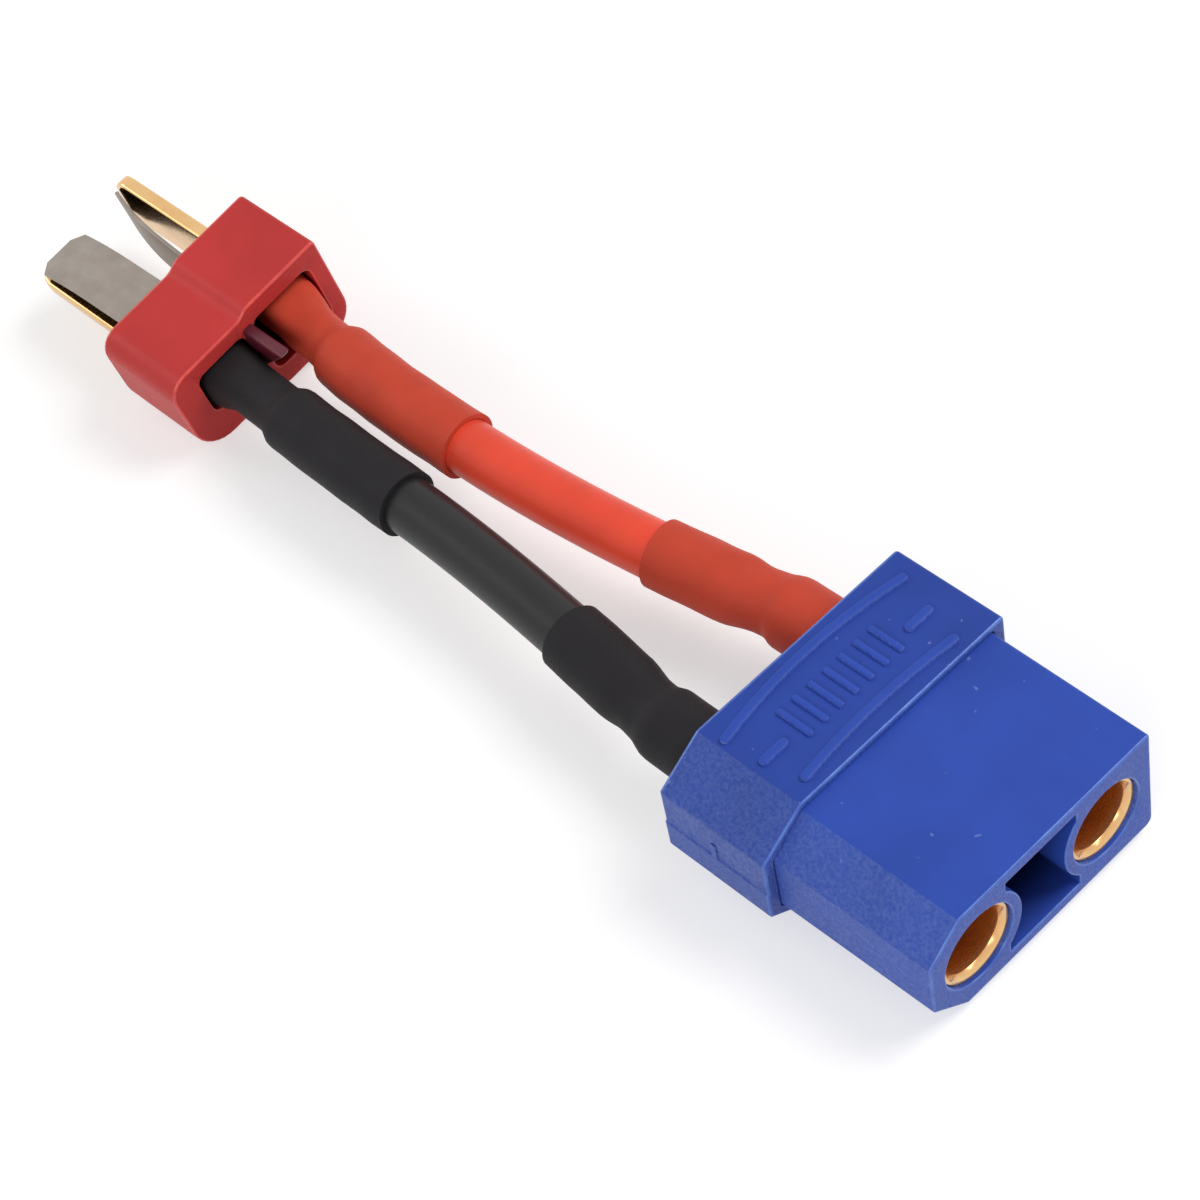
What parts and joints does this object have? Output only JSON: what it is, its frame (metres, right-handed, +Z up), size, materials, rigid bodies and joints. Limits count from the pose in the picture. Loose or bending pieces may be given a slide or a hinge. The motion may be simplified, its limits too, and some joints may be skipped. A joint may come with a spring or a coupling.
{
  "type": "battery connector adapter",
  "caption": "Battery adapter with crossed flat blades in a red plug, short red and black leads, and a blue keyed housing with round bullet sockets.",
  "frame": {"origin": "centre of the flat underside of the socket housing's rear cap, which lies on the table", "axes": "+X from the blade plug to the mating face of the sockets, +Y to the positive red lead, +Z up"},
  "size_m": [0.0878, 0.0208, 0.01],
  "materials": {
    "blue_plastic": "satin moulded, fine grain",
    "red_plastic": "semi-gloss moulded",
    "gold_plate": "bright plated",
    "spring_metal": "plain strip",
    "red_silicone": "glossy soft",
    "black_silicone": "satin soft",
    "copper": "tinned strands",
    "red_sleeve": "matt shrunk",
    "black_sleeve": "matt shrunk",
    "solder": "flowed"
  },
  "bodies": {
    "adapter": {"socket_housing": "blue_plastic", "socket_rear_cap": "blue_plastic", "positive_socket_contact": "gold_plate", "negative_socket_contact": "gold_plate", "blade_plug_housing": "red_plastic", "flat_blade": "gold_plate", "upright_blade": "gold_plate", "red_wire_insulation": "red_silicone", "black_wire_insulation": "black_silicone", "red_wire_strands": "copper", "black_wire_strands": "copper", "red_plug_sleeve": "red_sleeve", "black_plug_sleeve": "black_sleeve", "red_socket_sleeve": "red_sleeve", "black_socket_sleeve": "black_sleeve", "red_tab_solder": "solder", "black_tab_solder": "solder", "red_cup_solder": "solder", "black_cup_solder": "solder"},
    "flat_leaf": {"flat_blade_spring": "spring_metal"},
    "upright_leaf": {"upright_blade_spring": "spring_metal"}
  },
  "joints": [
    {"name": "flat_leaf_flex", "type": "hinge", "parent": "adapter", "child": "flat_leaf", "pos_m": [-0.071, -0.00292, 0.00482], "axis": [0, 0.9851, 0.1719], "range_deg": [0, 8], "stiffness_Nm_per_rad": 0.2},
    {"name": "upright_leaf_flex", "type": "hinge", "parent": "adapter", "child": "upright_leaf", "pos_m": [-0.071, 0.003, 0.00512], "axis": [0, -0.1719, 0.9851], "range_deg": [0, 8], "stiffness_Nm_per_rad": 0.2}
  ]
}
